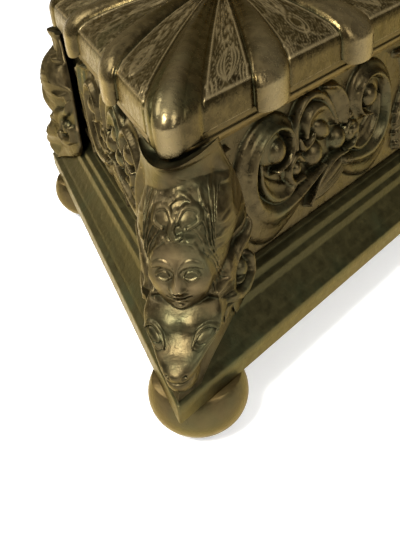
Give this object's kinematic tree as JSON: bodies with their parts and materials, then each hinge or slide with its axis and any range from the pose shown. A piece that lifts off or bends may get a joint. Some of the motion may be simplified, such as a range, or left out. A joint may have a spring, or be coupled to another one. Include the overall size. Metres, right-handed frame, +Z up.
{
  "type": "inkwell",
  "caption": "Triangular bronze casket inkwell on ball feet: gadrooned hinged lid, scrollwork walls, mask and animal-head corner brackets, and a lift-out ink pot.",
  "frame": {"origin": "bottom centre of the bounding box, on the plane the feet stand on", "axes": "+Z up; one plinth corner points to -Y and the hinged side lies along X at +Y; +X is to the right, seen from that corner"},
  "size_m": [0.15, 0.1328, 0.1039],
  "materials": {
    "patinated_bronze": "dark bronze with a brown-green patina, worn to gold on its high places",
    "polished_bronze": "rubbed golden-brown bronze",
    "brass": "satin",
    "steel": "dull, darkened",
    "opal_glass": "opaque, glossy"
  },
  "bodies": {
    "case": {"base_plate": "patinated_bronze", "base_screw_front": "steel", "base_screw_left": "steel", "base_screw_right": "steel", "box_rim": "polished_bronze", "bracket_front": "patinated_bronze", "bracket_left": "patinated_bronze", "bracket_right": "patinated_bronze", "bracket_screw_front": "steel", "bracket_screw_left": "steel", "bracket_screw_right": "steel", "foot_front": "polished_bronze", "foot_left": "polished_bronze", "foot_right": "polished_bronze", "foot_stud_front": "steel", "foot_stud_left": "steel", "foot_stud_right": "steel", "hinge_box_leaf_left": "brass", "hinge_box_leaf_right": "brass", "hinge_box_screw_left_a": "steel", "hinge_box_screw_left_b": "steel", "hinge_box_screw_right_a": "steel", "hinge_box_screw_right_b": "steel", "hinge_pin_left": "steel", "hinge_pin_right": "steel", "plinth": "patinated_bronze", "pot_collar": "brass", "wall_back": "patinated_bronze", "wall_left": "patinated_bronze", "wall_right": "patinated_bronze", "well_tray": "brass"},
    "lid": {"finial": "polished_bronze", "finial_nut": "steel", "finial_stud": "steel", "hinge_lid_leaf_left": "brass", "hinge_lid_leaf_right": "brass", "hinge_lid_screw_left_a": "steel", "hinge_lid_screw_left_b": "steel", "hinge_lid_screw_right_a": "steel", "hinge_lid_screw_right_b": "steel", "lid": "patinated_bronze"},
    "pot": {"ink_pot": "opal_glass"}
  },
  "joints": [
    {"name": "lid_hinge", "type": "hinge", "parent": "case", "child": "lid", "pos_m": [0, 0.0583, 0.06845], "axis": [-1, 0, 0], "range_deg": [0, 95]},
    {"name": "pot_lift", "type": "slide", "parent": "case", "child": "pot", "axis": [0, 0, 1], "range_m": [0, 0.01]}
  ]
}
